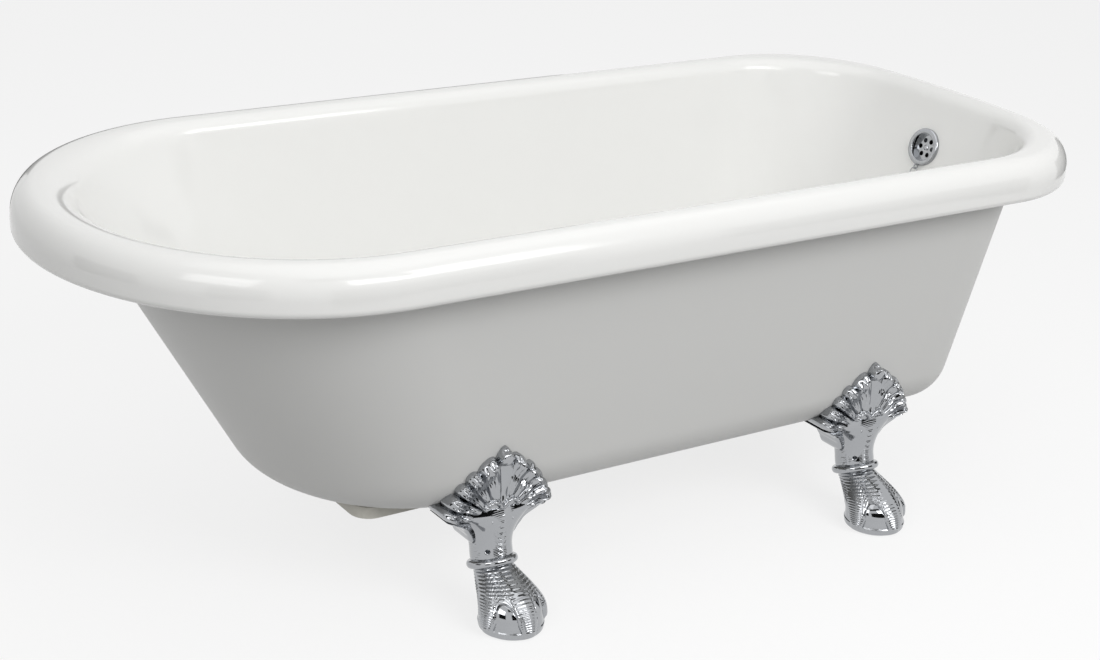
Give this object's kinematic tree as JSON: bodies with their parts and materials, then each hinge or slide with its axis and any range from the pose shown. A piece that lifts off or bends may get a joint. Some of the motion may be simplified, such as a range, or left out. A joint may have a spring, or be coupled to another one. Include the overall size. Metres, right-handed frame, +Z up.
{
  "type": "clawfoot bathtub",
  "caption": "Freestanding single-ended roll-top bath on claw-and-ball feet, with waste, overflow pipe and a plug on a chain.",
  "frame": {"origin": "on the floor under the middle of the rolled rim", "axes": "+X towards the tap and overflow end, +Y towards one long side, +Z up"},
  "size_m": [1.7, 0.75, 0.61],
  "materials": {
    "white_acrylic": "polished white acrylic sheet with a glossy skin inside and out",
    "board": "resin-sealed chipboard",
    "foot_chrome": "polished chrome plate on a casting",
    "zinc_steel": "bright zinc plate",
    "fitting_chrome": "polished chrome plate on brass",
    "fitting_brass": "turned brass",
    "black_rubber": "moulded sealing rubber",
    "plug_rubber": "smooth black rubber",
    "chain_chrome": "chrome-plated wire"
  },
  "bodies": {
    "bath": {"bath_shell": "white_acrylic", "base_board": "board", "foot_head_near": "foot_chrome", "foot_tap_near": "foot_chrome", "foot_head_far": "foot_chrome", "foot_tap_far": "foot_chrome", "foot_bolts": "zinc_steel", "waste_flange": "fitting_chrome", "waste_seal_top": "black_rubber", "waste_seal_middle": "black_rubber", "waste_seal_bottom": "black_rubber", "banjo_body": "fitting_chrome", "waste_backnut": "fitting_brass", "overflow_rose": "fitting_chrome", "overflow_screw": "fitting_chrome", "overflow_seal": "black_rubber", "overflow_chamber": "fitting_chrome", "overflow_pipe": "fitting_chrome", "overflow_nut": "fitting_chrome", "banjo_nut": "fitting_chrome"},
    "plug": {"plug_rubber": "plug_rubber", "plug_cap": "fitting_chrome"},
    "upper_chain": {"split_ring": "chain_chrome", "chain_upper": "chain_chrome"},
    "lower_chain": {"chain_lower": "chain_chrome", "plug_ring": "chain_chrome"}
  },
  "joints": [
    {"name": "plug_lift", "type": "slide", "parent": "bath", "child": "plug", "axis": [0, 0, 1], "range_m": [0, 0.015]},
    {"name": "upper_chain_swing", "type": "hinge", "parent": "bath", "child": "upper_chain", "pos_m": [0.7524, 0, 0.48087], "axis": [0, -1, 0], "range_deg": [0, 2.1]},
    {"name": "lower_chain_swing", "type": "hinge", "parent": "upper_chain", "child": "lower_chain", "pos_m": [0.63544, 0, 0.22413], "axis": [0, 1, 0], "range_deg": [0, 15.68]}
  ],
  "couplings": [
    {"joint": "upper_chain_swing", "follows": "plug_lift", "rad_per_m": 2.4285},
    {"joint": "lower_chain_swing", "follows": "plug_lift", "rad_per_m": 18.232}
  ]
}
